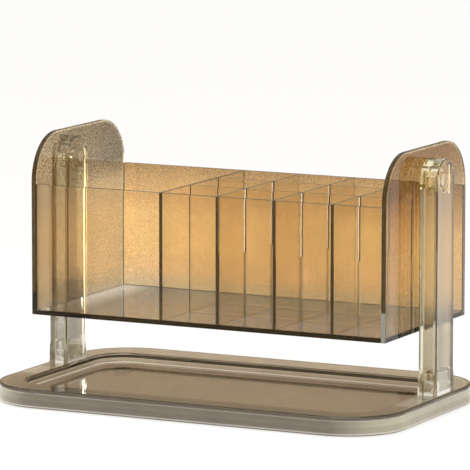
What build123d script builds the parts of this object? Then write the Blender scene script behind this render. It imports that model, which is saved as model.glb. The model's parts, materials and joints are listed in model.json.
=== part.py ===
from build123d import *
import os
from math import atan, degrees, hypot

# Rotating makeup organizer of smoky clear plastic. A divided tub turns end over end between two
# hollow posts that stand on a shallow tray. All sizes are in millimetres. +X runs along the tub,
# -Y is the front and +Z is up. The origin is on the table, below the middle of the tray.

# Tub: clear sizes of its bays, and the sheets between them
brush_bay_width = 69.1
cell_width = 29.6
end_cell_width = 26.1
cell_depth = 29.5
columns = 4
rows = 3
wall_sheet = 2.2
floor_sheet = 2.2
end_sheet = 2.4
divider_sheet = 1.8
wall_height = 66.4
end_panel_height = 91.1
end_panel_corner = 24.0
sheet_clearance = 0.1

# Pivot: a stub axle in each end panel turns in the hub of a post
pivot_below_top = 15.9
pin_radius = 4.0
pin_reach = 7.0
pin_chamfer = 0.8
collar_radius = 5.6
collar_thickness = 0.6
tenon_radius = 3.0
bond_clearance = 0.05
running_clearance = 0.05
end_float = 0.4
swing_clearance = 17.3

# Posts
post_gap = 0.83
post_thickness = 9.7
post_width = 20.9
post_wall = 2.4
post_edge_break = 0.5
foot_flare = 0.25
foot_flare_height = 10.0
hub_radius = 6.3
cavity_above_pivot = 2.0

# Tray
rim_depth = 133.0
rim_corner = 29.9
rim_outside_posts = 1.1
rim_edge_round = 1.0
skirt_height = 9.5
skirt_flare = 0.4
skirt_wall = 2.0
skirt_edge_break = 0.5
tray_wall = 2.2
pivot_setback = 15.45
front_rim_width = 12.2
rear_rim_width = 16.5
recess_corner = 18.2
recess_edge_round = 1.5
recess_drop = 4.9
recess_wall_lean = 1.0
recess_floor_round = 1.2
spigot_height = 12.0
spigot_wall = 1.4
spigot_chamfer = 1.0
spigot_clearance = 0.1

# Feet
foot_stand = 0.8
foot_radius = 4.5
foot_taper = 12
foot_edge_break = 0.6
foot_inset = 17.0

# Sizes of the tub that follow from its bays
bays_length = brush_bay_width + (columns - 1) * cell_width + end_cell_width
tub_length = bays_length + columns * divider_sheet + 2 * end_sheet
bays_depth = rows * cell_depth + (rows - 1) * divider_sheet
tub_depth = bays_depth + 2 * wall_sheet
inner_x = tub_length / 2 - end_sheet
divider_height = wall_height - floor_sheet

# The tub swings clear of the tray, so the pivot's height follows from the tub's reach
pivot_y = pivot_setback
pivot_drop = end_panel_height - pivot_below_top
swing_radius = hypot(tub_depth / 2, pivot_drop)
skirt_z = foot_stand
rim_z = skirt_z + skirt_height
pivot_z = rim_z + swing_clearance + swing_radius
tub_z = pivot_z - pivot_drop
floor_top_z = tub_z + floor_sheet

# The posts stand on the rim, just outside the tub
post_inner_x = tub_length / 2 + post_gap
post_outer_x = post_inner_x + post_thickness
cavity_thickness = post_thickness - 2 * post_wall
cavity_width = post_width - 2 * post_wall
bore_depth = collar_thickness - post_gap + pin_reach + end_float

# The tray's rim runs just outside the posts, and its recess starts just inside them
rim_length = 2 * (post_outer_x + rim_outside_posts)
skirt_length = rim_length + 2 * rim_edge_round
skirt_depth = rim_depth + 2 * rim_edge_round
skirt_corner = rim_corner + rim_edge_round
recess_length = 2 * (post_inner_x - recess_edge_round)
recess_front_y = -rim_depth / 2 + front_rim_width + recess_edge_round
recess_rear_y = rim_depth / 2 - rear_rim_width - recess_edge_round
recess_depth = recess_rear_y - recess_front_y
recess_y = (recess_rear_y + recess_front_y) / 2
pan_z = rim_z - recess_drop
pan_underside_z = pan_z - tray_wall

# Places of the dividers
first_divider_x = -inner_x + brush_bay_width + divider_sheet / 2
cross_divider_xs = [first_divider_x + n * (cell_width + divider_sheet) for n in range(columns)]
first_long_y = pivot_y - bays_depth / 2 + cell_depth + divider_sheet / 2
long_divider_ys = [first_long_y + n * (cell_depth + divider_sheet) for n in range(rows - 1)]
slot_width = divider_sheet + 2 * sheet_clearance

SIDES = {"left": -1, "right": 1}
ENDS = {"front": -1, "rear": 1}


def write(piece, name):
    """Label a finished piece and write its file."""
    piece.part.label = name
    export_step(piece.part, f"parts/{name}.step")


def rounded_outline(length, depth, corner, grow):
    """A tray outline, drawn larger by grow all round, with corners on the same centres."""
    RectangleRounded(length + 2 * grow, depth + 2 * grow, corner + grow)


def recess_outline(grow):
    """The outline of the tray's recess, which lies a little in front of the tray's middle."""
    with Locations((0, recess_y)):
        rounded_outline(recess_length, recess_depth, recess_corner - recess_edge_round, grow)


def side_plane(x, side):
    """A plane square to the pivot axis at x, facing outwards, centred on the pivot."""
    return Plane(origin=(side * x, pivot_y, pivot_z), x_dir=(0, side, 0), z_dir=(side, 0, 0))


def post_outline(width, top):
    """A post seen from its side: straight up from the rim to the height top above the pivot."""
    height = pivot_z + top - rim_z
    with Locations((0, top - height / 2)):
        Rectangle(width, height)


os.makedirs("parts", exist_ok=True)

# Tray: a thin moulding, with a skirt outside, a recessed pan inside and a spigot for each post
with BuildPart() as base_tray:
    with BuildSketch(Plane.XY.offset(skirt_z)):
        rounded_outline(skirt_length, skirt_depth, skirt_corner, skirt_flare)
    with BuildSketch(Plane.XY.offset(rim_z)):
        rounded_outline(skirt_length, skirt_depth, skirt_corner, 0)
    loft()
    fillet(base_tray.faces().sort_by(Axis.Z)[-1].edges(), rim_edge_round)
    chamfer(base_tray.faces().sort_by(Axis.Z)[0].edges(), skirt_edge_break)
    # The underside is hollow up to the rim
    with BuildSketch(Plane.XY.offset(skirt_z)):
        rounded_outline(skirt_length, skirt_depth, skirt_corner, skirt_flare - skirt_wall)
    with BuildSketch(Plane.XY.offset(rim_z - tray_wall)):
        rounded_outline(skirt_length, skirt_depth, skirt_corner, -skirt_wall)
    loft(mode=Mode.SUBTRACT)
    # The pan hangs inside the rim
    with BuildSketch(Plane.XY.offset(pan_underside_z)):
        recess_outline(tray_wall - recess_wall_lean)
    with BuildSketch(Plane.XY.offset(rim_z)):
        recess_outline(tray_wall)
    loft()
    with BuildSketch(Plane.XY.offset(pan_z)):
        recess_outline(-recess_wall_lean)
    with BuildSketch(Plane.XY.offset(rim_z)):
        recess_outline(0)
    loft(mode=Mode.SUBTRACT)
    pan_floor = base_tray.faces().filter_by_position(Axis.Z, pan_z - 0.01, pan_z + 0.01)
    fillet(pan_floor.edges(), recess_floor_round)
    rim = base_tray.faces().filter_by(Axis.Z).sort_by(Axis.Z)[-1]
    fillet(rim.inner_wires().edges(), recess_edge_round)
    # Spigots, cored out from below
    post_x = (post_inner_x + post_outer_x) / 2
    spigot_thickness = cavity_thickness - 2 * spigot_clearance
    spigot_width = cavity_width - 2 * spigot_clearance
    with BuildSketch(Plane.XY.offset(rim_z - tray_wall / 2)):
        with Locations((-post_x, pivot_y), (post_x, pivot_y)):
            Rectangle(spigot_thickness, spigot_width)
    extrude(amount=tray_wall / 2 + spigot_height)
    chamfer(base_tray.faces().sort_by(Axis.Z)[-2:].edges(), spigot_chamfer)
    with BuildSketch(Plane.XY.offset(rim_z - tray_wall)):
        with Locations((-post_x, pivot_y), (post_x, pivot_y)):
            Rectangle(spigot_thickness - 2 * spigot_wall, spigot_width - 2 * spigot_wall)
    extrude(amount=tray_wall + spigot_height - spigot_wall, mode=Mode.SUBTRACT)
write(base_tray, "base_tray")

# Posts: hollow up to the pivot, with a flared foot, a solid round head and a bearing hub
for side_name, side in SIDES.items():
    with BuildPart() as post:
        with BuildSketch(side_plane(post_inner_x, side)):
            post_outline(post_width, 0)
            Circle(post_width / 2)
        extrude(amount=post_thickness)
        above_foot = post.edges().filter_by_position(Axis.Z, rim_z + 1, pivot_z + post_width)
        chamfer(above_foot.filter_by(Axis.X, reverse=True), post_edge_break)
        with BuildSketch(Plane.XY.offset(rim_z)):
            with Locations((side * post_x, pivot_y)):
                Rectangle(post_thickness + 2 * foot_flare, post_width + 2 * foot_flare)
        extrude(amount=foot_flare_height, taper=degrees(atan(foot_flare / foot_flare_height)))
        with BuildSketch(side_plane(post_inner_x + post_wall, side)):
            post_outline(cavity_width, cavity_above_pivot)
        extrude(amount=cavity_thickness, mode=Mode.SUBTRACT)
        with BuildSketch(side_plane(post_inner_x + post_wall, side)):
            Circle(hub_radius)
        extrude(amount=cavity_thickness)
        with BuildSketch(side_plane(post_inner_x, side)):
            Circle(pin_radius + running_clearance)
        extrude(amount=bore_depth, mode=Mode.SUBTRACT)
    write(post, f"{side_name}_post")

# Pivot pins: a tenon bonded into the end panel, a thin collar and the shaft that turns in the hub
for side_name, side in SIDES.items():
    with BuildPart() as pin:
        with BuildSketch(side_plane(inner_x, side)):
            Circle(tenon_radius)
        extrude(amount=end_sheet)
        with BuildSketch(side_plane(tub_length / 2, side)):
            Circle(collar_radius)
        extrude(amount=collar_thickness)
        with BuildSketch(side_plane(tub_length / 2 + collar_thickness, side)):
            Circle(pin_radius)
        extrude(amount=pin_reach)
        tip = pin.faces().filter_by(Axis.X).sort_by(Axis.X)[-1 if side > 0 else 0]
        chamfer(tip.edges(), pin_chamfer)
    write(pin, f"{side_name}_pivot_pin")

# Feet: soft tapered pads under the corners of the pan
for end_name, end in ENDS.items():
    for side_name, side in SIDES.items():
        foot_x = side * (recess_length / 2 - foot_inset)
        foot_y = recess_y + end * (recess_depth / 2 - foot_inset)
        with BuildPart() as foot:
            with BuildSketch(Plane((foot_x, foot_y, pan_underside_z))):
                Circle(foot_radius)
            extrude(amount=-pan_underside_z, taper=foot_taper)
            chamfer(foot.faces().sort_by(Axis.Z)[0].edges(), foot_edge_break)
        write(foot, f"foot_{end_name}_{side_name}")

# Floor of the tub, between the end panels and under the walls
with BuildPart() as tub_floor:
    with BuildSketch(Plane.XY.offset(tub_z)):
        with Locations((0, pivot_y)):
            Rectangle(2 * inner_x, tub_depth)
    extrude(amount=floor_sheet)
write(tub_floor, "tub_floor")

# Front and rear walls stand on the floor
for end_name, end in ENDS.items():
    with BuildPart() as wall:
        with BuildSketch(Plane.XY.offset(floor_top_z)):
            with Locations((0, pivot_y + end * (tub_depth - wall_sheet) / 2)):
                Rectangle(2 * inner_x, wall_sheet)
        extrude(amount=divider_height)
    write(wall, f"{end_name}_wall")

# End panels cover the ends of the floor and walls, rise above the rim and carry the pins
for side_name, side in SIDES.items():
    with BuildPart() as end_panel:
        with BuildSketch(side_plane(inner_x, side)) as panel_outline:
            with Locations((0, pivot_below_top - end_panel_height / 2)):
                Rectangle(tub_depth, end_panel_height)
            fillet(panel_outline.vertices().group_by(Axis.Y)[-1], end_panel_corner)
            Circle(tenon_radius + bond_clearance, mode=Mode.SUBTRACT)
        extrude(amount=end_sheet)
    write(end_panel, f"{side_name}_end_panel")

# Cross dividers: all but the first are slotted from the top, down to half their height
for number, divider_x in enumerate(cross_divider_xs, start=1):
    with BuildPart() as cross_divider:
        with BuildSketch(Plane.XY.offset(floor_top_z)):
            with Locations((divider_x, pivot_y)):
                Rectangle(divider_sheet, bays_depth)
        extrude(amount=divider_height)
        if number > 1:
            with BuildSketch(Plane.XY.offset(floor_top_z + divider_height / 2)):
                with Locations([(divider_x, long_y) for long_y in long_divider_ys]):
                    Rectangle(divider_sheet, slot_width)
            extrude(amount=divider_height / 2, mode=Mode.SUBTRACT)
    write(cross_divider, f"cross_divider_{number}")

# Long dividers: slotted from below, they drop over the cross dividers and part off the rows
long_start_x = first_divider_x + divider_sheet / 2
long_length = inner_x - long_start_x
for end_name, long_y in zip(("front", "rear"), long_divider_ys):
    with BuildPart() as long_divider:
        with BuildSketch(Plane.XY.offset(floor_top_z)):
            with Locations((long_start_x + long_length / 2, long_y)):
                Rectangle(long_length, divider_sheet)
        extrude(amount=divider_height)
        with BuildSketch(Plane.XY.offset(floor_top_z)):
            with Locations([(cross_x, long_y) for cross_x in cross_divider_xs[1:]]):
                Rectangle(slot_width, divider_sheet)
        extrude(amount=divider_height / 2, mode=Mode.SUBTRACT)
    write(long_divider, f"long_divider_{end_name}")

print(f"tub {tub_length:.1f} x {tub_depth:.1f}, pivot at y {pivot_y:.2f}, z {pivot_z:.2f}")
print(f"tray rim at z {rim_z:.2f}, recess floor at z {pan_z:.2f}, underside of the tub at z {tub_z:.2f}")
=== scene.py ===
import json
from math import cos, log, pi, radians, sin

import bpy
from mathutils import Matrix, Vector


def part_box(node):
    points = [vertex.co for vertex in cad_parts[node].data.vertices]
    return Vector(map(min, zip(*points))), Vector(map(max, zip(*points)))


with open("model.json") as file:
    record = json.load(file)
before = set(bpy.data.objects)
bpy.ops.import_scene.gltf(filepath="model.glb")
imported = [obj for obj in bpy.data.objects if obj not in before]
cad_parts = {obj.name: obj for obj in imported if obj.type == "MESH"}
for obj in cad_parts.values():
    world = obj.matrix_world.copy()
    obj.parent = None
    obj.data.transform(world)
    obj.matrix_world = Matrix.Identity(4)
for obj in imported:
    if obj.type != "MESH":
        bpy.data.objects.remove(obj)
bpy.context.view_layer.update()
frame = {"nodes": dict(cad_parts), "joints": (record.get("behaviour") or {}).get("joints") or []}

# Rotating makeup organizer: a divided tub of smoky clear plastic that turns end over end between
# two hollow posts on a shallow tray. Lengths are in metres, unless a name says millimetres.
MM = 0.001
NODES = frame["nodes"]
PIVOT = Vector(frame["joints"][0]["pos_m"])
END_PANELS = ["left_end_panel", "right_end_panel"]
POSTS = ["left_post", "right_post"]
PINS = ["left_pivot_pin", "right_pivot_pin"]
FEET = sorted(name for name in NODES if name.startswith("foot_"))
CROSS_DIVIDERS = sorted(name for name in NODES if name.startswith("cross_divider"))
LONG_DIVIDERS = sorted(name for name in NODES if name.startswith("long_divider"))

# Camera, fitted to the photo's straight edges. Its angles are in degrees
PHOTO_WIDTH = 470
FOCAL_PIXELS = 4517.9
SENSOR_MM = 36.0
CAMERA_YAW = 26.426
CAMERA_PITCH = 8.375
CAMERA_ROLL = 0.05
CAMERA_DISTANCE = 2.28196
AIM_TO_RIGHT = -0.006758
AIM_UPWARDS = 0.040145
NEAREST_SEEN = 0.1
FARTHEST_SEEN = 50

# Table, and the share of its light that is its own: to the camera, and in gloss or plastic
TABLE_WIDTH = 16.0
TABLE_GREY = 0.95
OWN_LIGHT_SEEN = 0.75
OWN_LIGHT_IN_PLASTIC = 0.35

# Measures of the solids that the patterns follow. The pins' are from the middle of the tub
PANEL_CORNER = 24.0 * MM
PIN_HOLE = 3.3 * MM
TENON_END = 97.9 * MM
COLLAR_END = 98.7 * MM
POST_WALL = 2.4 * MM
POST_THICKNESS = 9.7 * MM
POST_WIDTH = 20.9 * MM
HUB_RADIUS = 6.3 * MM
CAVITY_TOP = 2.0 * MM
TRAY_CORNER = 31.0 * MM
RECESS_DROP = 4.9 * MM
SPIGOT_HEIGHT = 12 * MM
EDGE_BREAK = 0.25 * MM

# Panels: the strip round the outline, which is narrower above the walls, where it is a painted
# light line, and the front edge's foot, painted light
STRIP_WIDTH = 2.5 * MM
STRIP_LOSS_ABOVE = 1.5 * MM
PANEL_FOOT_HEIGHT = 14.8 * MM
FRONT_EDGE_DEPTH = 0.4 * MM
LOW_EDGE_HEIGHT = 0.85 * MM

# Tray: inwards from its outline, and down from the rim
SKIRT_WIDTH = 3.8 * MM
SKIRT_WALL = 1.2 * MM
ROUND_DROP = 2.3 * MM
PALE_WALL_DROP = 2.75 * MM

# Posts: how far in from a side light runs along the wall there, and from where a wall is clear
ALONG_FRONT_WALL = 0.8 * MM
ALONG_REAR_WALL = 4.0 * MM
ALONG_LEFT_WALL = 3.1 * MM
ALONG_RIGHT_WALL = 1.7 * MM
CLEAR_REAR_WALL = 3.7 * MM
CLEAR_LEFT_WALL = 2.2 * MM
OUTSIDE_DEPTH = 0.5 * MM
CORNER_LINE = 0.6 * MM
WELD_OFF_MIDDLE = 3.4 * MM
WELD_REACH = 8.0 * MM
HUB_END_DEPTH = 1.2 * MM
# From the pivot down to the foot of the head's smoke, and to the top of the corners' lines
HEAD_DROP = 6.5 * MM
CORNER_LINE_DROP = 3.5 * MM
# From the rim up to the top of the bond's spots, and of the milky corners
BOND_RISE = 7.0 * MM
MILKY_CORNER_RISE = 4.0 * MM

# How strongly each plastic bends light. A film of grease hides most of a pin's outline
ACRYLIC_IOR = 1.49
POLYSTYRENE_IOR = 1.59
SILICONE_IOR = 1.41
GREASED_PIN_IOR = 1.2

# How rough the plastics are, from 0 for polished to 1 for matt
CUT_EDGE_ROUGHNESS = 0.12
POLISHED_ROUGHNESS = 0.02
MATT_CORE_ROUGHNESS = 0.14

# How milky they are, from 0 for clear to 1
CROSS_EDGE_MILK = 0.06
PANEL_FOOT_MILK = 0.85
RECESS_LINE_MILK = 0.45
FOOT_LINE_MILK = 0.12
UNDERSIDE_MILK = 0.3
# The post's milky marks are painted glints
POST_MILK = 0.8
CEILING_MILK = 0.4
BOND_MILK = 0.3
POST_END_MILK = 0.75
PIN_SHAFT_MILK = 0.15
PIN_COLLAR_MILK = 0.7
SILICONE_HAZE = 0.6

# How much an acrylic's tint varies from grain to grain
DIVIDER_GRAIN = 0.02
FLOOR_GRAIN = 0.05
WALL_GRAIN = 0.2
PANEL_GRAIN = 0.36

# Overhead lamp, with its angles in degrees
OVERHEAD_STRENGTH = 0.5
OVERHEAD_SPREAD = 50
OVERHEAD_TILT = (25, -15)

# Most of a noise's values lie between these two
NOISE_LOW, NOISE_HIGH = 0.3, 0.7
# Streaks per metre along each axis: drag lines 0.5 mm apart, and flow lines 1.2 mm apart
DRAG_LINES = (2000, 2000, 90)
FLOW_LINES = (830, 830, 12)
# A wave repeats each 2 pi / 20 of its scale, so the rings on a pin are 3.8 mm apart
RING_SCALE = 1 / (20 * 0.6 * MM)

# Tints: what white looks like through a plastic, or on it where it is milky. Lists pair a share of
# the end panels' height, or for the floor of the tub's length, with a tint. The tan sheets' tints
# change with height and differ between the two end panels, and the tub's floor is near white at
# its left end: partly tint and partly painted light and shade
WHITE = "#FFFFFF"
CLEAR_FACE = [(0, "#F8F4EC"), (1, "#F8F4EC")]
FLOOR_FACE = [(0.03, "#F4F4F4"), (0.07, "#C8CCCE"), (0.12, "#7E868C"), (1, "#7E848A")]
TAN_WALL = [(0, "#D2C4AC"), (0.06, "#DCC4A0"), (0.14, "#F2CB9A"), (0.25, "#FFD396"),
            (0.45, "#FFD396"), (0.72, "#BE9D73")]
LEFT_PANEL = [(0, "#A39986"), (0.07, "#B09A78"), (0.16, "#C4A57A"), (0.45, "#C9A97B"),
              (0.7, "#B19C7B"), (0.85, "#BBA57F"), (1, "#AC946C")]
RIGHT_PANEL = [(0, "#DED2BE"), (0.12, "#E4D4B4"), (0.45, "#E4D4B0"), (0.7, "#CDB083"),
               (0.78, "#B09266"), (0.88, "#A27A46"), (1, "#926A34")]
# How much of the left panel's tint there is, partly painted light and shade: front and rear beside
# the bays, front and rear above
LEFT_DEPTH = (0.7, 1.32, 1.0, 0.42)
PANEL_JOINT_AND_LIGHT_LINE = "#D6C8A8"
DIVIDER_EDGE = "#CFC2A6"
PANEL_EDGE = "#8E8A7C"
# The pale foot of the right panel's front edge: painted light
PANEL_FOOT = "#868880"
FLOOR_EDGE = "#605E56"
LOW_EDGE_DARK = "#4A4034"
ACRYLIC_GLOSS = "#9E927C"

RIM_FRONT = "#665644"
RIM_REAR = "#E6E0D2"
# Painted shade in the round into the recess
ROUND_PAINTED_SHADE = "#14110C"
RECESS = "#A8957C"
RECESS_WALL = "#D2C6B0"
RECESS_FOOT_SHADE = "#A89C88"
RECESS_LINE = "#ECE6DA"
SKIRT = "#625B4D"
SKIRT_END_LIGHT = "#9E9A86"
TRAY_BOND = "#F2EFE8"

POST_CLEAR = "#FDFDFB"
POST_HEAD = "#F4DEB2"
# The left and right posts take different tints: painted light and shade on one plastic
POST_LOW = "#81745F"
POST_LOW_RIGHT = "#B6A78D"
POST_HIGH = "#EAF4FF"
POST_HIGH_RIGHT = "#F6EACC"
FOOT_LEFT = "#D2D0CA"
FOOT_RIGHT = "#F6F4EE"
WALL_LEFT = "#867C68"
WALL_RIGHT = "#B0A48E"
WALL_SIDE = "#6E6656"
WALL_HIGH = "#D0C6B2"
POST_CORNER_SHADE = "#2A241C"

PIN_MILK = "#FFFFFF"
PIN_SHADE = "#F1EDE4"
PIN_CEMENT = "#B0A07E"
SILICONE_SHADE = "#EFEBE2"
SILICONE_MILK = "#FAF8F3"

# Smoke in the mass: what white looks like through a plastic's own thickness, and that thickness
DARK_SHEET = ("#F6F3EC", 2.3)
LIGHT_SHEET = ("#FCFBF9", 2.3)
TRAY_MASS = ("#FAF8F4", 2.3)
POST_MASS = ("#FEFEFC", 2.0)
PIN_MASS = ("#FCFBF7", 8.0)
SILICONE_MASS = ("#F6F3EC", 5.0)

# Shadows that the pieces throw
WALL_SHADOW = "#D8B482"
DIVIDER_SHADOW = "#F4F0E8"
FLOOR_SHADOW = "#E4DCCD"
PANEL_SHADOW = "#C0A882"
TRAY_SHADOW = "#A8997E"
POST_SHADOW = "#E8E2D6"
PIN_SHADOW = "#F4F1EA"
SILICONE_SHADOW = "#F2EFE8"

# Bands of the tray, as pairs of a place and a grey, where white means all of something and black
# means none. First two dark lines of painted shade in the round into the recess, by how far it
# faces up
ROUND_SHADE_BANDS = [(0.0, "#FFFFFF"), (0.46, "#FFFFFF"), (0.5, "#202020"), (0.79, "#202020"),
               (0.83, "#FFFFFF"), (0.97, "#FFFFFF"), (0.99, "#000000")]
# Up the skirt: a dark foot, a pale line, the smoke, more light beside the recess, and a dark rim.
# The dark foot and rim are painted shade and the pale line a painted highlight. These say how
# much light the skirt lets through, how little smoke it has, and how milky it is
SKIRT_LIGHT = [(0.05, "#5A5448"), (0.06, "#FFFFFF"), (0.13, "#FFFFFF"), (0.14, "#E4E4E4"),
               (0.43, "#E4E4E4"), (0.48, "#FFFFFF"), (0.952, "#FFFFFF"), (0.966, "#181510")]
SKIRT_CLEAR = [(0.05, "#000000"), (0.06, "#909090"), (0.13, "#909090"), (0.14, "#000000"),
               (0.745, "#000000"), (0.765, "#808080"), (0.84, "#808080"), (0.86, "#FFFFFF")]
SKIRT_MILK = [(0.05, "#000000"), (0.065, "#A0A0A0"), (0.12, "#A0A0A0"), (0.13, "#CFCFCF"),
              (0.745, "#CFCFCF"), (0.765, "#808080"), (0.84, "#808080"), (0.86, "#000000")]
# Up the recess's wall: two milky lines, painted light lines
RECESS_MILK = [(0.0, "#000000"), (0.03, "#FFFFFF"), (0.12, "#FFFFFF"), (0.16, "#000000"),
               (0.36, "#000000"), (0.42, "#FFFFFF"), (0.54, "#FFFFFF"), (0.57, "#000000")]

# Sockets of a mix node: two numbers, or two colours and the mixed colour
FIRST_NUMBER, SECOND_NUMBER = 2, 3
FIRST_COLOUR, SECOND_COLOUR, MIXED_COLOUR = 6, 7, 2

scene = bpy.context.scene


def linear(hex_colour):
    """An sRGB colour, written as #RRGGBB, as the linear colour that a shader takes."""
    values = [int(hex_colour[i:i + 2], 16) / 255 for i in (1, 3, 5)]
    return [v / 12.92 if v <= 0.04045 else ((v + 0.055) / 1.055) ** 2.4 for v in values] + [1.0]


def add(tree, kind, inputs=None, **settings):
    """Add a node. Each input takes a value or the socket that feeds it."""
    node = tree.nodes.new(kind)
    for name, value in settings.items():
        setattr(node, name, value)
    for name, value in (inputs or {}).items():
        if isinstance(value, bpy.types.NodeSocket):
            tree.links.new(value, node.inputs[name])
        else:
            node.inputs[name].default_value = value
    return node


def calc(tree, operation, *values, clamp=False):
    """Arithmetic on numbers."""
    inputs = dict(enumerate(values))
    return add(tree, "ShaderNodeMath", inputs, operation=operation, use_clamp=clamp).outputs[0]


def over(tree, value, limit):
    """1 where a value lies over a limit, 0 elsewhere."""
    return calc(tree, "GREATER_THAN", value, limit)


def under(tree, value, limit):
    """1 where a value lies under a limit, 0 elsewhere."""
    return calc(tree, "LESS_THAN", value, limit)


def both(tree, mask, *others):
    """What all of the masks cover."""
    for other in others:
        mask = calc(tree, "MULTIPLY", mask, other)
    return mask


def either(tree, mask, *others):
    """What any of the masks covers."""
    for other in others:
        mask = calc(tree, "MAXIMUM", mask, other)
    return mask


def without(tree, mask, other):
    """What the first mask covers and the other doesn't."""
    return calc(tree, "SUBTRACT", mask, other, clamp=True)


def remap(tree, value, start, end, low=0.0, high=1.0, curve="LINEAR"):
    """A number that goes from low to high while the value goes from start to end."""
    inputs = {"Value": value, "From Min": start, "From Max": end, "To Min": low, "To Max": high}
    return add(tree, "ShaderNodeMapRange", inputs, interpolation_type=curve).outputs[0]


def soft_over(tree, value, limit, blur):
    """1 where a value lies over a limit, with a slope that starts and ends blur from the limit."""
    return remap(tree, value, limit - blur, limit + blur)


def soft_under(tree, value, limit, blur):
    """1 where a value lies under a limit, with a slope that starts and ends blur from the limit."""
    return remap(tree, value, limit + blur, limit - blur)


def pick(tree, share, first, second):
    """A number that is the first where share is 0 and the second where it is 1."""
    inputs = {0: share, FIRST_NUMBER: first, SECOND_NUMBER: second}
    return add(tree, "ShaderNodeMix", inputs).outputs[0]


def blend(tree, share, first, second):
    """A colour that is the first where share is 0 and the second where it is 1."""
    first, second = (linear(tint) if isinstance(tint, str) else tint for tint in (first, second))
    inputs = {0: share, FIRST_COLOUR: first, SECOND_COLOUR: second}
    return add(tree, "ShaderNodeMix", inputs, data_type="RGBA").outputs[MIXED_COLOUR]


def ramp(tree, value, stops):
    """A colour that follows a value. The stops are pairs of a place and a colour."""
    node = add(tree, "ShaderNodeValToRGB", {"Fac": value})
    elements = node.color_ramp.elements
    elements[0].position, elements[0].color = stops[0][0], linear(stops[0][1])
    elements[1].position, elements[1].color = stops[-1][0], linear(stops[-1][1])
    for place, colour in stops[1:-1]:
        elements.new(place).color = linear(colour)
    return node.outputs["Color"]


def combine(tree, operation, *vectors):
    """Arithmetic on vectors, part by part."""
    inputs = dict(enumerate(vectors))
    return add(tree, "ShaderNodeVectorMath", inputs, operation=operation).outputs[0]


def scaled(tree, vector, share):
    """A vector or a colour, multiplied by a number."""
    inputs = {0: vector, "Scale": share}
    return add(tree, "ShaderNodeVectorMath", inputs, operation="SCALE").outputs[0]


def length(tree, vector):
    """How long a vector is."""
    return add(tree, "ShaderNodeVectorMath", {0: vector}, operation="LENGTH").outputs["Value"]


def flat_length(tree, first, second):
    """How long a vector is, from its parts along two axes."""
    flat = add(tree, "ShaderNodeCombineXYZ", {"X": first, "Y": second}).outputs[0]
    return length(tree, flat)


def axes(tree, vector):
    """The three parts of a vector."""
    return add(tree, "ShaderNodeSeparateXYZ", {"Vector": vector}).outputs


def from_corner(tree, place, centre):
    """How far out a place lies from the centre of a round corner. Along a straight side it is how
    far out the place lies from the line between two such centres."""
    beyond = combine(tree, "SUBTRACT", combine(tree, "ABSOLUTE", place), centre)
    return length(tree, combine(tree, "MAXIMUM", beyond, (0, 0, 0)))


def noise(tree, place, size_mm, detail):
    """Soft spots of about one size."""
    inputs = {"Vector": place, "Scale": 1 / (size_mm * MM), "Detail": detail}
    return add(tree, "ShaderNodeTexNoise", inputs).outputs[0]


def streaks(tree, place, per_metre, detail):
    """Soft streaks, with so many of them per metre along each axis."""
    stretched = combine(tree, "MULTIPLY", place, per_metre)
    inputs = {"Vector": stretched, "Scale": 1.0, "Detail": detail}
    return add(tree, "ShaderNodeTexNoise", inputs).outputs[0]


def relief(tree, height, strength, depth_mm):
    """Small bumps of a surface, for a shader's Normal."""
    inputs = {"Height": height, "Strength": strength, "Distance": depth_mm * MM}
    return add(tree, "ShaderNodeBump", inputs).outputs[0]


def place_camera():
    """The camera stands in front, a little above the rim and to the right, and looks at the tub."""
    yaw, pitch, roll = radians(CAMERA_YAW), radians(CAMERA_PITCH), radians(CAMERA_ROLL)
    back = Vector((sin(yaw) * cos(pitch), -cos(yaw) * cos(pitch), sin(pitch)))
    level = Vector((cos(yaw), sin(yaw), 0))
    upright = back.cross(level)
    aim = Vector((0, PIVOT.y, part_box("tub_floor")[0].z))
    aim += AIM_TO_RIGHT * level + AIM_UPWARDS * upright
    right = cos(roll) * level + sin(roll) * upright
    data = bpy.data.cameras.new("camera")
    data.sensor_width = SENSOR_MM
    data.lens = FOCAL_PIXELS / PHOTO_WIDTH * SENSOR_MM
    data.clip_start = NEAREST_SEEN
    data.clip_end = FARTHEST_SEEN
    camera = bpy.data.objects.new("camera", data)
    turn = Matrix((right, back.cross(right), back)).transposed()
    camera.matrix_world = Matrix.Translation(aim + CAMERA_DISTANCE * back) @ turn.to_4x4()
    scene.collection.objects.link(camera)
    scene.camera = camera


def lay_floor():
    """A pale table top that fills the view and keeps a light shadow of the organizer."""
    mesh = bpy.data.meshes.new("floor")
    half = TABLE_WIDTH / 2
    corners = [(-half, -half, 0), (half, -half, 0), (half, half, 0), (-half, half, 0)]
    mesh.from_pydata(corners, [], [(0, 1, 2, 3)])
    floor = bpy.data.objects.new("floor", mesh)
    scene.collection.objects.link(floor)
    material, tree = new_material("pale_table")
    path = add(tree, "ShaderNodeLightPath").outputs
    in_plastic = either(tree, path["Is Transmission Ray"], path["Is Glossy Ray"])
    in_plastic = calc(tree, "MULTIPLY", in_plastic, OWN_LIGHT_IN_PLASTIC)
    share = calc(tree, "MULTIPLY_ADD", path["Is Camera Ray"], OWN_LIGHT_SEEN, in_plastic)
    grey = [TABLE_GREY] * 3 + [1]
    matt = add(tree, "ShaderNodeBsdfDiffuse", {"Color": grey}).outputs[0]
    glow = add(tree, "ShaderNodeEmission", {"Color": linear(WHITE), "Strength": 1.0}).outputs[0]
    surface = add(tree, "ShaderNodeMixShader", {0: share, 1: matt, 2: glow}).outputs[0]
    add(tree, "ShaderNodeOutputMaterial", {"Surface": surface})
    mesh.materials.append(material)


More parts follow.
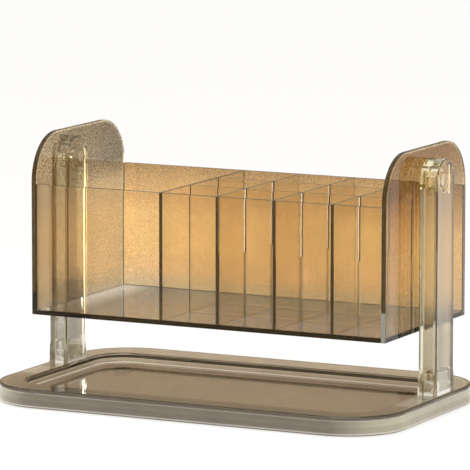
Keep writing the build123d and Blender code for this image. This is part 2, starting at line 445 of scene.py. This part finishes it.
def soft_box(name, place, target, width, height, radiance, in_gloss=True, through=True):
    """A plain lamp box of even brightness that faces target. Gloss shows it if in_gloss, and clear
    plastic shows it if through."""
    data = bpy.data.lights.new(name, "AREA")
    data.shape = "RECTANGLE"
    data.size, data.size_y = width, height
    data.energy = radiance * pi * width * height
    lamp = bpy.data.objects.new(name, data)
    lamp.location = place
    lamp.rotation_euler = (Vector(target) - Vector(place)).to_track_quat("-Z", "Y").to_euler()
    lamp.visible_camera = False
    lamp.visible_glossy = in_gloss
    lamp.visible_transmission = through
    scene.collection.objects.link(lamp)


def light_studio():
    """Plain soft light: a pale room, a wide lamp overhead and three lamp boxes."""
    world = bpy.data.worlds.new("studio")
    world.use_nodes = True
    scene.world = world
    tree = world.node_tree
    tree.nodes.clear()
    direction = add(tree, "ShaderNodeTexCoord").outputs["Generated"]
    height = axes(tree, direction)["Z"]
    # What gloss mirrors: a warm grey room wall below, a bright ceiling above
    mirrored = ramp(tree, height, [(0.22, "#B8A588"), (0.6, "#F0EDE8")])
    # What shows through: white all round, with a darker gap between the white and the ceiling
    gap = [(0.22, WHITE), (0.34, "#6E6350"), (0.66, "#6E6350"), (0.8, WHITE)]
    around = ramp(tree, height, gap)
    path = add(tree, "ShaderNodeLightPath").outputs
    room = blend(tree, path["Is Transmission Ray"], mirrored, around)
    room = blend(tree, path["Is Camera Ray"], room, WHITE)
    glow = add(tree, "ShaderNodeBackground", {"Color": room, "Strength": 1.0}).outputs[0]
    add(tree, "ShaderNodeOutputWorld", {"Surface": glow})
    sun = bpy.data.lights.new("overhead_lamp", "SUN")
    sun.energy = OVERHEAD_STRENGTH
    sun.angle = radians(OVERHEAD_SPREAD)
    lamp = bpy.data.objects.new("overhead_lamp", sun)
    lamp.rotation_euler = (*map(radians, OVERHEAD_TILT), 0)
    scene.collection.objects.link(lamp)
    # Off the left post's rear wall, this one gives the white line down the post
    soft_box("left_post_lamp", (-0.205, -0.17, 0.065), (-0.103, 0.015, 0.095),
             width=0.07, height=0.14, radiance=6.5, in_gloss=False)
    # From the right, this one whitens what is milky
    soft_box("milk_lamp", (0.55, -0.3, 0.13), (0.1, 0, 0.1),
             width=0.35, height=0.25, radiance=8.0, in_gloss=False, through=False)
    # A box above turns every round edge bright
    soft_box("ceiling_lamp", (0.1, -0.15, 1.1), (0, 0, 0.1), width=0.6, height=0.5, radiance=4.0)


def new_material(name):
    """An empty material and its node tree."""
    material = bpy.data.materials.new(name)
    material.use_nodes = True
    material.node_tree.nodes.clear()
    return material, material.node_tree


def close_clear(tree, ior, colour, roughness, bumps, mass, shadow, gloss=WHITE, clarity=1.0):
    """Give a clear plastic its shader. mass pairs what white looks like through the plastic with
    the millimetres that takes. A sheet throws a shadow of the colour shadow. Its gloss is of the
    colour gloss, head on. It is clear where clarity is 1, and milky where it is less."""
    body = add(tree, "ShaderNodeBsdfPrincipled", {
        "Base Color": colour,
        "Roughness": roughness,
        "Normal": bumps,
        "IOR": ior,
        "Transmission Weight": clarity,
        "Specular Tint": linear(gloss),
    }).outputs[0]
    # A shadow crosses two faces, so each of them takes the root
    face_shadow = [part ** 0.5 for part in linear(shadow)[:3]] + [1]
    lit = add(tree, "ShaderNodeBsdfTransparent", {"Color": face_shadow}).outputs[0]
    lamps = add(tree, "ShaderNodeLightPath").outputs["Is Shadow Ray"]
    surface = add(tree, "ShaderNodeMixShader", {0: lamps, 1: body, 2: lit}).outputs[0]
    smoke, smoke_mm = mass
    taken = [-log(part) / (smoke_mm * MM) for part in linear(smoke)[:3]]
    most = max(taken)
    volume = add(tree, "ShaderNodeVolumeAbsorption", {
        "Color": [1 - share / most for share in taken] + [1],
        "Density": most,
    }).outputs[0]
    add(tree, "ShaderNodeOutputMaterial", {"Surface": surface, "Volume": volume})


def cast_acrylic(name, flat_axis, face_tints, shadow, grain, edge_tint, mass, joint=None,
                 depth=None, edge_haze=0.0, pale_foot=None):
    """Cast acrylic sheet, smoked in the mass and cut by laser. It gives glassy faces and, where one
    looks along the sheet, brown edges with fine upright drag lines, milky by edge_haze. mass is
    the smoke in it, and grain says how much its tint varies. An end panel has a paler strip round
    its outline, of the colour joint: the bond where the walls meet it, and a painted light line
    above them. depth scales the tint in four places, as LEFT_DEPTH does. The front edge ends in a
    milky foot of the colour pale_foot, painted light."""
    material, tree = new_material(name)
    coordinates = add(tree, "ShaderNodeTexCoord").outputs
    place = coordinates["Object"]
    x, y, height = axes(tree, place)
    low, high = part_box("left_end_panel")
    # 1 on the cut edges, 0 on the faces and in the pin's hole
    facing = combine(tree, "ABSOLUTE", coordinates["Normal"])
    edge = soft_under(tree, axes(tree, facing)[flat_axis], 0.7, 0.2)
    from_pin = combine(tree, "SUBTRACT", place, (0, PIVOT.y, PIVOT.z))
    from_pin = length(tree, combine(tree, "MULTIPLY", from_pin, (0, 1, 1)))
    edge = both(tree, edge, over(tree, from_pin, PIN_HOLE))
    if flat_axis == "Z":
        along = remap(tree, x, low.x, -low.x)
    else:
        along = remap(tree, height, low.z, high.z)
    tint = ramp(tree, along, face_tints)
    wall_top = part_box("front_wall")[1].z
    over_walls = remap(tree, height, wall_top - 8 * MM, wall_top + 4 * MM)
    if depth:
        beside = remap(tree, y, low.y, PIVOT.y + 20 * MM, depth[0], depth[1])
        above = remap(tree, y, low.y, high.y, depth[2], depth[3])
        tint = scaled(tree, tint, pick(tree, over_walls, beside, above))
    # Beside the walls the paler strip is their bond; above them it is a painted light line
    if joint:
        from_middle = combine(tree, "SUBTRACT", place, (0, PIVOT.y, 0))
        centre = (1.0, high.y - PIVOT.y - PANEL_CORNER, high.z - PANEL_CORNER)
        outwards = from_corner(tree, from_middle, centre)
        outwards = calc(tree, "MULTIPLY_ADD", over_walls, -STRIP_LOSS_ABOVE, outwards)
        strip = soft_over(tree, outwards, PANEL_CORNER - STRIP_WIDTH, 0.4 * MM)
        tint = blend(tree, strip, tint, joint)
    # Grain about 0.9 mm wide, stronger above the walls, and clouds about 25 mm wide, in the tint
    speck = noise(tree, place, 0.9, 1.0)
    cloud = noise(tree, place, 25, 2.0)
    speck = remap(tree, speck, NOISE_LOW, NOISE_HIGH, -grain, grain)
    stronger = calc(tree, "MULTIPLY_ADD", over_walls, 1.4, 0.8)
    speck = calc(tree, "MULTIPLY_ADD", speck, stronger, 1.0)
    cloud = remap(tree, cloud, NOISE_LOW, NOISE_HIGH, 0.96, 1.04)
    tint = scaled(tree, tint, calc(tree, "MULTIPLY", speck, cloud))
    # The lowest millimetre of a cut edge is darker
    low_edge = soft_under(tree, height, low.z + LOW_EDGE_HEIGHT, 0.15 * MM)
    cut = blend(tree, low_edge, edge_tint, LOW_EDGE_DARK)
    haze = edge_haze
    # The right panel's front edge ends in a pale milky foot: painted light
    if pale_foot:
        foot = soft_under(tree, height, low.z + PANEL_FOOT_HEIGHT, 0.4 * MM)
        foot = both(tree, foot, under(tree, y, low.y + FRONT_EDGE_DEPTH))
        cut = blend(tree, foot, cut, pale_foot)
        haze = calc(tree, "MULTIPLY", foot, PANEL_FOOT_MILK)
    colour = blend(tree, edge, tint, cut)
    # Hand marks about 8 mm wide dull the faces a little; drag lines roughen the edges
    dull = remap(tree, noise(tree, place, 8, 4.0), 0.45, 0.75, 0.01, 0.05)
    roughness = calc(tree, "MULTIPLY_ADD", edge, CUT_EDGE_ROUGHNESS, dull)
    drag = streaks(tree, place, DRAG_LINES, 1.0)
    bumps = relief(tree, drag, calc(tree, "MULTIPLY", edge, 0.5), 0.05)
    clarity = calc(tree, "SUBTRACT", 1.0, calc(tree, "MULTIPLY", edge, haze))
    close_clear(tree, ACRYLIC_IOR, colour, roughness, bumps, mass, shadow, ACRYLIC_GLOSS, clarity)
    return material


def moulded_tray():
    """Polystyrene, injection moulded and smoked. The polished mould leaves the top glossy; swells
    and a little haze show in the skirt, and the spigots are clear. Dark lines in the round into
    the recess and along the skirt, and pale lines on the skirt and the recess's wall, are painted
    shade and light."""
    material, tree = new_material("smoked_polystyrene_tray")
    coordinates = add(tree, "ShaderNodeTexCoord").outputs
    place = coordinates["Object"]
    _, y, height = axes(tree, place)
    low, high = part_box("base_tray")
    rim_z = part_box("left_post")[0].z
    outwards = from_corner(tree, place, (high.x - TRAY_CORNER, high.y - TRAY_CORNER, 1.0))
    skirt = soft_over(tree, outwards, TRAY_CORNER - SKIRT_WIDTH, 0.4 * MM)
    skirt = without(tree, skirt, over(tree, height, rim_z - 0.04 * MM))
    # How far a surface faces up or down, or to a side
    slope = axes(tree, combine(tree, "ABSOLUTE", coordinates["Normal"]))
    # 1 on the faces that look down, 0 on those that look up
    back = add(tree, "ShaderNodeNewGeometry").outputs["Backfacing"]
    lean = axes(tree, coordinates["Normal"])["Z"]
    downward = pick(tree, back, under(tree, lean, -0.05), over(tree, lean, 0.05))

    # The rim is darker in front and paler at the rear. The recess's wall is darker at its foot:
    # painted shade where it meets the recess's floor
    rim = blend(tree, remap(tree, y, low.y, high.y), RIM_FRONT, RIM_REAR)
    below_rim = remap(tree, height, rim_z - 0.3 * MM, rim_z - 2.0 * MM)
    top = blend(tree, below_rim, rim, RECESS)
    high_up = soft_over(tree, height, rim_z - PALE_WALL_DROP, 0.15 * MM)
    wall = blend(tree, high_up, RECESS_FOOT_SHADE, RECESS_WALL)
    top = blend(tree, soft_under(tree, slope["Z"], 0.6, 0.2), top, wall)
    # Two dark lines of painted shade in the round into the recess
    near_rim = soft_over(tree, height, rim_z - ROUND_DROP, 0.1 * MM)
    painted_round_shade = both(tree, ramp(tree, slope["Z"], ROUND_SHADE_BANDS), near_rim)
    top = blend(tree, painted_round_shade, top, ROUND_PAINTED_SHADE)
    # Under the recess its wall and round are clear
    beneath = both(tree, soft_under(tree, slope["Z"], 0.94, 0.04), downward)
    top = blend(tree, beneath, top, WHITE)

    # The skirt is dark, partly painted shade, and paler at the ends, painted light. A dark line of
    # painted shade and a pale line of painted highlight run along each of its edges
    sides = blend(tree, soft_over(tree, slope["X"], 0.55, 0.4), SKIRT, SKIRT_END_LIGHT)
    up = remap(tree, height, low.z, rim_z)
    sides = blend(tree, ramp(tree, up, SKIRT_CLEAR), sides, WHITE)
    sides = combine(tree, "MULTIPLY", sides, ramp(tree, up, SKIRT_LIGHT))
    # Its inside is clear below the rim
    outermost = soft_over(tree, outwards, TRAY_CORNER - SKIRT_WALL, 0.1 * MM)
    outermost = without(tree, outermost, back)
    smoked = either(tree, over(tree, up, 0.9), outermost)
    sides = blend(tree, smoked, WHITE, sides)
    tint = blend(tree, skirt, top, sides)
    # Clouds about 18 mm wide
    cloud = remap(tree, noise(tree, place, 18, 3.0), NOISE_LOW, NOISE_HIGH, 0.93, 1.07)
    tint = scaled(tree, tint, cloud)
    # The spigots, and the rim where a post is bonded on it, are clear
    post_low, post_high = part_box("right_post")
    footprint = combine(tree, "ABSOLUTE", place)
    middle = ((post_low.x + post_high.x) / 2, PIVOT.y, rim_z)
    footprint = combine(tree, "ABSOLUTE", combine(tree, "SUBTRACT", footprint, middle))
    reach = (POST_THICKNESS / 2, POST_WIDTH / 2, 0.1 * MM)
    footprint = axes(tree, combine(tree, "DIVIDE", footprint, reach))
    bond = either(tree, footprint["X"], footprint["Y"], footprint["Z"])
    spigot = remap(tree, height, rim_z + 0.1 * MM, rim_z + 0.6 * MM)
    bond = either(tree, under(tree, bond, 1.0), spigot)
    colour = blend(tree, bond, tint, TRAY_BOND)

    # The skirt's outside is hazed, and two lines along the recess's wall are a little milky:
    # painted light lines
    skirt_milk = both(tree, ramp(tree, up, SKIRT_MILK), outermost)
    up_wall = remap(tree, height, rim_z - RECESS_DROP, rim_z)
    upper_side = without(tree, calc(tree, "SUBTRACT", 1.0, skirt), downward)
    wall_lines = both(tree, ramp(tree, up_wall, RECESS_MILK), upper_side)
    foot_line = both(tree, under(tree, up_wall, 0.3), wall_lines)
    colour = blend(tree, foot_line, colour, RECESS_LINE)
    wall_milk = calc(tree, "MULTIPLY", wall_lines, RECESS_LINE_MILK)
    wall_milk = calc(tree, "MULTIPLY_ADD", foot_line, FOOT_LINE_MILK, wall_milk)
    milk = calc(tree, "ADD", skirt_milk, wall_milk)
    milk = calc(tree, "MULTIPLY_ADD", beneath, UNDERSIDE_MILK, milk)
    clarity = calc(tree, "SUBTRACT", 1.0, milk)
    # Hand marks about 6 mm wide, and swells about 12 mm wide
    roughness = remap(tree, noise(tree, place, 6, 4.0), 0.4, 0.75, 0.02, 0.09)
    bumps = relief(tree, noise(tree, place, 12, 1.0), 0.1, 0.06)
    close_clear(tree, POLYSTYRENE_IOR, colour, roughness, bumps, TRAY_MASS, TRAY_SHADOW,
                clarity=clarity)
    return material


def moulded_post():
    """Polystyrene, moulded over a matt core. The outside is polished, with dark lines of painted
    shade down its corners. The inside is hazy and darker towards the foot, and milky spots where
    the spigot is bonded are painted glints, like the post's other milky marks."""
    material, tree = new_material("clear_polystyrene_post")
    coordinates = add(tree, "ShaderNodeTexCoord").outputs
    place = coordinates["Object"]
    x, y, z = axes(tree, place)
    low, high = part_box("right_post")
    middle = (low.x + high.x) / 2
    tub_z, rim_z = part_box("tub_floor")[0].z, low.z
    half_x, half_y = POST_THICKNESS / 2, POST_WIDTH / 2
    # Away from the post's middle: across its thickness, along its width, and up from the pivot
    outer = calc(tree, "SUBTRACT", calc(tree, "ABSOLUTE", x), middle)
    across = calc(tree, "ABSOLUTE", outer)
    along = calc(tree, "SUBTRACT", y, PIVOT.y)
    up = calc(tree, "SUBTRACT", z, PIVOT.z)
    round_head = flat_length(tree, along, calc(tree, "MAXIMUM", up, 0.0))
    from_pivot = flat_length(tree, along, up)
    # 1 on the faces of the hollow, below the head
    inside = both(tree, under(tree, across, half_x - POST_WALL / 2),
                  under(tree, round_head, half_y - POST_WALL / 2))
    shank = under(tree, up, CAVITY_TOP - 0.2 * MM)
    hollow = both(tree, inside, over(tree, from_pivot, HUB_RADIUS + 0.3 * MM), shank)

    # 1 outside, where the light that comes in runs along a wall. Parts of the left post's rear wall
    # and of the right post's inner wall stay clear, and give a bright line. The rest is tinted
    # darker, painted shade over the light that runs along the wall
    at_right = over(tree, x, 0.0)
    # Along x from the middle of the post itself
    lateral = calc(tree, "ADD", pick(tree, at_right, middle, -middle), x)
    facing = axes(tree, combine(tree, "ABSOLUTE", coordinates["Normal"]))
    side_shell = both(tree, over(tree, across, half_x - OUTSIDE_DEPTH),
                      over(tree, facing["X"], 0.7))
    side_zone = either(tree, over(tree, along, half_y - ALONG_REAR_WALL),
                       under(tree, along, ALONG_FRONT_WALL - half_y))
    rear_line = without(tree, over(tree, along, half_y - CLEAR_REAR_WALL), at_right)
    side_zone = both(tree, without(tree, side_zone, rear_line), side_shell)
    front_shell = both(tree, over(tree, round_head, half_y - OUTSIDE_DEPTH),
                       over(tree, facing["Y"], 0.7))
    front_zone = either(tree, over(tree, lateral, half_x - ALONG_RIGHT_WALL),
                        under(tree, lateral, ALONG_LEFT_WALL - half_x))
    inner_line = both(tree, under(tree, lateral, CLEAR_LEFT_WALL - half_x), at_right)
    front_zone = both(tree, without(tree, front_zone, inner_line), front_shell)
    over_wall = both(tree, either(tree, side_zone, front_zone), shank)

    # The haze inside, darker below the tub, with upright flow lines, and paler at the spigot. The
    # left post's tints differ from the right's: painted light and shade on the same plastic
    rise = remap(tree, z, tub_z - 6 * MM, tub_z + 22 * MM, curve="SMOOTHSTEP")
    low_haze = blend(tree, at_right, POST_LOW, POST_LOW_RIGHT)
    high_haze = blend(tree, at_right, POST_HIGH, POST_HIGH_RIGHT)
    haze = blend(tree, rise, low_haze, high_haze)
    flow = streaks(tree, place, FLOW_LINES, 2.0)
    haze = scaled(tree, haze, remap(tree, flow, NOISE_LOW, NOISE_HIGH, 0.88, 1.1))
    spigot_top = rim_z + SPIGOT_HEIGHT
    foot = soft_under(tree, z, spigot_top, 0.6 * MM)
    haze = blend(tree, foot, haze, blend(tree, at_right, FOOT_LEFT, FOOT_RIGHT))
    # The outside round the right post's head is tinted tan, the left post's not
    head = soft_over(tree, up, -HEAD_DROP, 1.5 * MM)
    head = both(tree, head, either(tree, side_shell, front_shell), at_right)
    clear = blend(tree, head, POST_CLEAR, POST_HEAD)
    colour = blend(tree, hollow, clear, haze)
    # Painted shade on the outside over the walls, darker on the left post
    right_wall_shade = blend(tree, side_zone, WALL_RIGHT, WALL_SIDE)
    painted_wall_shade = blend(tree, at_right, WALL_LEFT, right_wall_shade)
    painted_wall_shade = blend(tree, rise, painted_wall_shade, WALL_HIGH)
    colour = blend(tree, over_wall, colour, painted_wall_shade)
    # Painted shade: dark lines down the four corners, from below the head to the spigot
    corner = both(tree, over(tree, across, half_x - CORNER_LINE),
                  over(tree, round_head, half_y - CORNER_LINE))
    below_head = soft_under(tree, up, -CORNER_LINE_DROP, 1.5 * MM)
    dark = both(tree, corner, calc(tree, "SUBTRACT", below_head, foot))
    colour = blend(tree, dark, colour, POST_CORNER_SHADE)

    # Milky places, which the milk lamp whitens into painted glints: the end of the hub, a weld line
    # across it, the top of the hollow, the foot and its corners, and a few spots where the spigot
    # is bonded
    ring = calc(tree, "COMPARE", from_pivot, HUB_RADIUS, 0.3 * MM)
    ring = both(tree, ring, inside, over(tree, outer, half_x - POST_WALL - HUB_END_DEPTH))
    weld = calc(tree, "COMPARE", along, WELD_OFF_MIDDLE, 0.55 * MM)
    weld = both(tree, weld, under(tree, from_pivot, WELD_REACH),
                over(tree, outer, half_x - 0.2 * MM))
    ceiling = both(tree, calc(tree, "COMPARE", up, CAVITY_TOP, 0.15 * MM), inside)
    ceiling = calc(tree, "MULTIPLY", ceiling, CEILING_MILK)
    spots = soft_over(tree, noise(tree, place, 4, 0.0), 0.59, 0.02)
    bonded = soft_under(tree, z, rim_z + BOND_RISE, 1.0 * MM)
    spots = both(tree, either(tree, spots, BOND_MILK), bonded, inside)
    low_corner = both(tree, soft_under(tree, z, rim_z + MILKY_CORNER_RISE, 0.5 * MM), corner)
    lowest = remap(tree, z, rim_z + 2.2 * MM, rim_z + 0.8 * MM, high=POST_END_MILK)
    milk = either(tree, ring, weld, ceiling, spots, low_corner, lowest)
    clarity = calc(tree, "MULTIPLY_ADD", milk, -POST_MILK, 1.0)
    roughness = calc(tree, "MULTIPLY_ADD", hollow, MATT_CORE_ROUGHNESS, POLISHED_ROUGHNESS)
    bumps = relief(tree, flow, 0.35, 0.05)
    close_clear(tree, POLYSTYRENE_IOR, colour, roughness, bumps, POST_MASS, POST_SHADOW,
                clarity=clarity)
    return material


def turned_pin():
    """Acrylic rod, turned and left matt, with faint rings from the tool. Cement stains its tenon in
    the end panel, and the collar beside that is ground."""
    material, tree = new_material("turned_acrylic_pin")
    place = add(tree, "ShaderNodeTexCoord").outputs["Object"]
    x, y, z = axes(tree, combine(tree, "SUBTRACT", place, (0, PIVOT.y, PIVOT.z)))
    flat = add(tree, "ShaderNodeCombineXYZ", {"X": y, "Y": z}).outputs[0]
    inputs = {"Vector": flat, "Scale": RING_SCALE, "Distortion": 0.5}
    rings = add(tree, "ShaderNodeTexWave", inputs,
                wave_type="RINGS", rings_direction="SPHERICAL").outputs["Fac"]
    mark = noise(tree, place, 2, 3.0)
    outwards = calc(tree, "ABSOLUTE", x)
    tenon = under(tree, outwards, TENON_END)
    collar = under(tree, outwards, COLLAR_END)
    colour = blend(tree, tenon, blend(tree, mark, PIN_MILK, PIN_SHADE), PIN_CEMENT)
    clarity = calc(tree, "MULTIPLY_ADD", collar, -PIN_COLLAR_MILK, 1 - PIN_SHAFT_MILK)
    roughness = remap(tree, mark, 0.0, 1.0, 0.15, 0.3)
    bumps = relief(tree, rings, 0.15, 0.02)
    close_clear(tree, GREASED_PIN_IOR, colour, roughness, bumps, PIN_MASS, PIN_SHADOW,
                clarity=clarity)
    return material


def silicone_foot():
    """Clear silicone, moulded matt, with grains about 0.8 mm wide. It is milky all through."""
    material, tree = new_material("clear_silicone_foot")
    place = add(tree, "ShaderNodeTexCoord").outputs["Object"]
    grain = noise(tree, place, 0.8, 2.0)
    colour = blend(tree, grain, SILICONE_SHADE, SILICONE_MILK)
    roughness = remap(tree, grain, 0.0, 1.0, 0.3, 0.5)
    bumps = relief(tree, grain, 0.3, 0.05)
    close_clear(tree, SILICONE_IOR, colour, roughness, bumps, SILICONE_MASS, SILICONE_SHADOW,
                clarity=1 - SILICONE_HAZE)
    return material


def break_edges(node):
    """Take the sharp edges off a cut sheet, so that they catch the light."""
    node.modifiers.new("join", "WELD").merge_threshold = 0.01 * MM
    bevel = node.modifiers.new("edge_break", "BEVEL")
    bevel.width = EDGE_BREAK
    bevel.segments = 2
    bevel.limit_method = "ANGLE"
    bevel.angle_limit = radians(40)
    node.modifiers.new("flat_faces", "WEIGHTED_NORMAL").keep_sharp = True


def finish_nodes():
    """Give every piece its finish."""
    rear = cast_acrylic("tan_acrylic_wall", "Y", TAN_WALL, WALL_SHADOW, WALL_GRAIN,
                        DIVIDER_EDGE, DARK_SHEET)
    cross = cast_acrylic("smoky_acrylic_cross_sheet", "X", CLEAR_FACE, DIVIDER_SHADOW,
                         DIVIDER_GRAIN, DIVIDER_EDGE, LIGHT_SHEET, edge_haze=CROSS_EDGE_MILK)
    lengthwise = cast_acrylic("smoky_acrylic_long_sheet", "Y", CLEAR_FACE, DIVIDER_SHADOW,
                              DIVIDER_GRAIN, DIVIDER_EDGE, LIGHT_SHEET)
    floor = cast_acrylic("smoky_acrylic_floor", "Z", FLOOR_FACE, FLOOR_SHADOW, FLOOR_GRAIN,
                         FLOOR_EDGE, LIGHT_SHEET)
    finishes = {"front_wall": lengthwise, "tub_floor": floor, "rear_wall": rear}
    tray = moulded_tray()
    panels = zip(END_PANELS, (LEFT_PANEL, RIGHT_PANEL), (LEFT_DEPTH, None), (None, PANEL_FOOT))
    for name, tints, depth, foot in panels:
        finishes[name] = cast_acrylic("tan_acrylic_" + name, "X", tints, PANEL_SHADOW, PANEL_GRAIN,
                                      PANEL_EDGE, LIGHT_SHEET, PANEL_JOINT_AND_LIGHT_LINE, depth, pale_foot=foot)
    finishes.update(dict.fromkeys(CROSS_DIVIDERS, cross))
    finishes.update(dict.fromkeys(LONG_DIVIDERS, lengthwise))
    for name in finishes:
        break_edges(NODES[name])
    finishes["base_tray"] = tray
    finishes.update(dict.fromkeys(POSTS, moulded_post()))
    finishes.update(dict.fromkeys(PINS, turned_pin()))
    finishes.update(dict.fromkeys(FEET, silicone_foot()))
    for name, node in NODES.items():
        node.material_slots[0].material = finishes[name]


place_camera()
lay_floor()
light_studio()
finish_nodes()

# Light crosses many sheets, so it needs many bounces
scene.view_settings.view_transform = "Standard"
scene.cycles.max_bounces = 32
scene.cycles.transmission_bounces = 32
scene.cycles.glossy_bounces = 24
scene.cycles.transparent_max_bounces = 48
scene.cycles.diffuse_bounces = 3
